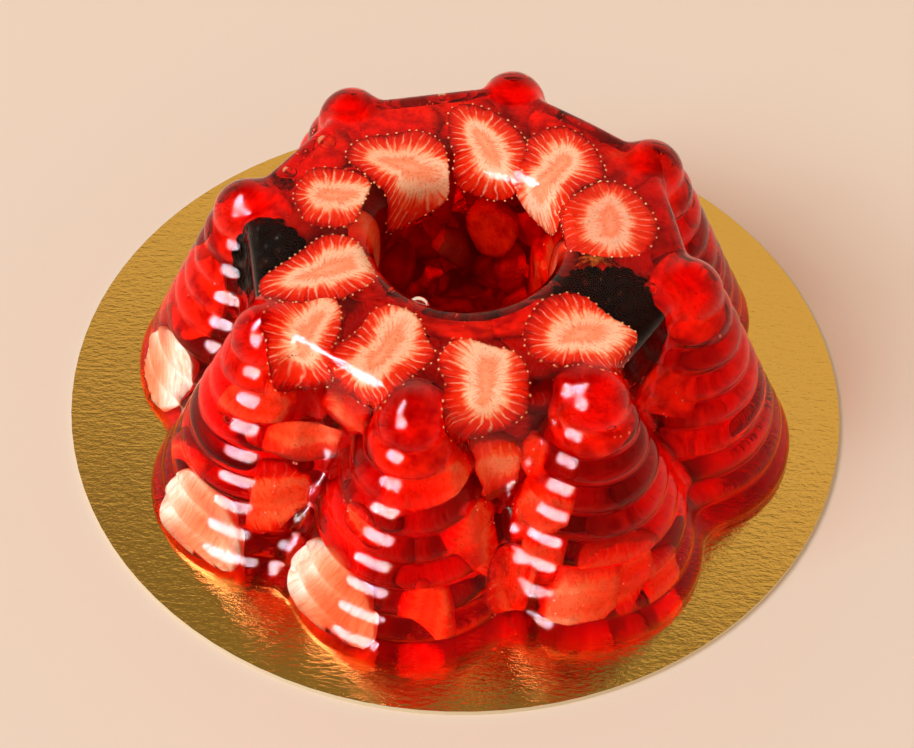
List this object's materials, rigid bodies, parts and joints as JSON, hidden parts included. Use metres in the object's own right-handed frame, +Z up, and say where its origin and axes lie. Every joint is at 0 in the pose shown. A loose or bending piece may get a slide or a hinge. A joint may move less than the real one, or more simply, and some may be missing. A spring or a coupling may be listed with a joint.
{
  "type": "moulded fruit jelly",
  "caption": "Ring of clear red jelly moulded with stepped cone lobes round a middle hole and set with fruit, standing on a round gold cake board.",
  "frame": {"origin": "middle of the board's underside", "axes": "+Z up, -Y towards the side that the object is seen from"},
  "size_m": [0.26, 0.26, 0.0842],
  "materials": {
    "jelly": "clear wet set jelly, red",
    "cake_board": "embossed metallised foil on card, gold",
    "strawberry": "cut strawberry flesh, wet",
    "strawberry_seed": "pale strawberry seeds",
    "dark_berry": "dark drupelet berry skin, glossy",
    "leaf": "browned strawberry calyx stub"
  },
  "bodies": {
    "root": {"jelly": "jelly", "cake_board": "cake_board"}
  },
  "joints": []
}
